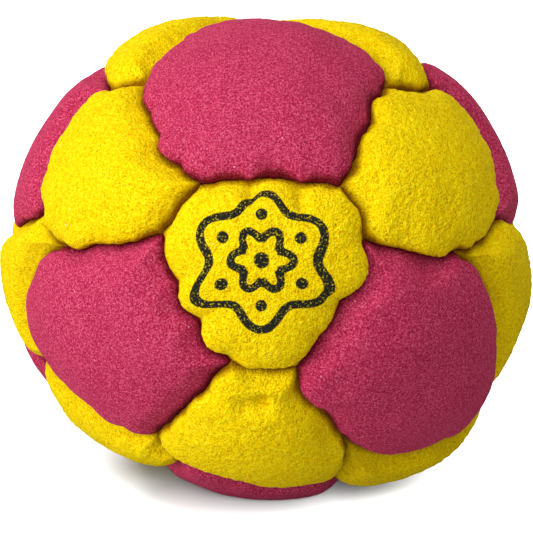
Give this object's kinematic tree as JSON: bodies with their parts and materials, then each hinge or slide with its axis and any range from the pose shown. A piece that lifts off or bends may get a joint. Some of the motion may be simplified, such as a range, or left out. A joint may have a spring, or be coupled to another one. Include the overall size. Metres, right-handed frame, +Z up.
{
  "type": "footbag",
  "caption": "Round footbag of pink pentagon and yellow hexagon suede panels, sewn edge to edge over loose sand and settled on a small flat base.",
  "frame": {"origin": "on the floor, at the middle of the bounding box's underside", "axes": "+Z up from the flat base, -Y towards the viewer, so that the hexagon between the three nearest pentagons faces -Y, +X to the viewer's right"},
  "size_m": [0.0538, 0.0528, 0.0483],
  "materials": {
    "pink_suede": "matt napped synthetic suede",
    "yellow_suede": "matt napped synthetic suede",
    "sewing_thread": "twisted polyester thread",
    "sand": "dry fine sand"
  },
  "bodies": {
    "root": {"pink_pentagon_01": "pink_suede", "pink_pentagon_02": "pink_suede", "pink_pentagon_03": "pink_suede", "pink_pentagon_04": "pink_suede", "pink_pentagon_05": "pink_suede", "pink_pentagon_06": "pink_suede", "pink_pentagon_07": "pink_suede", "pink_pentagon_08": "pink_suede", "pink_pentagon_09": "pink_suede", "pink_pentagon_10": "pink_suede", "pink_pentagon_11": "pink_suede", "pink_pentagon_12": "pink_suede", "yellow_hexagon_01": "yellow_suede", "yellow_hexagon_02": "yellow_suede", "yellow_hexagon_03": "yellow_suede", "yellow_hexagon_04": "yellow_suede", "yellow_hexagon_05": "yellow_suede", "yellow_hexagon_06": "yellow_suede", "yellow_hexagon_07": "yellow_suede", "yellow_hexagon_08": "yellow_suede", "yellow_hexagon_09": "yellow_suede", "yellow_hexagon_10": "yellow_suede", "yellow_hexagon_11": "yellow_suede", "yellow_hexagon_12": "yellow_suede", "yellow_hexagon_13": "yellow_suede", "yellow_hexagon_14": "yellow_suede", "yellow_hexagon_15": "yellow_suede", "yellow_hexagon_16": "yellow_suede", "yellow_hexagon_17": "yellow_suede", "yellow_hexagon_18": "yellow_suede", "yellow_hexagon_19": "yellow_suede", "yellow_hexagon_20": "yellow_suede", "seam_thread": "sewing_thread", "closing_thread": "sewing_thread", "sand_fill": "sand"}
  },
  "joints": []
}
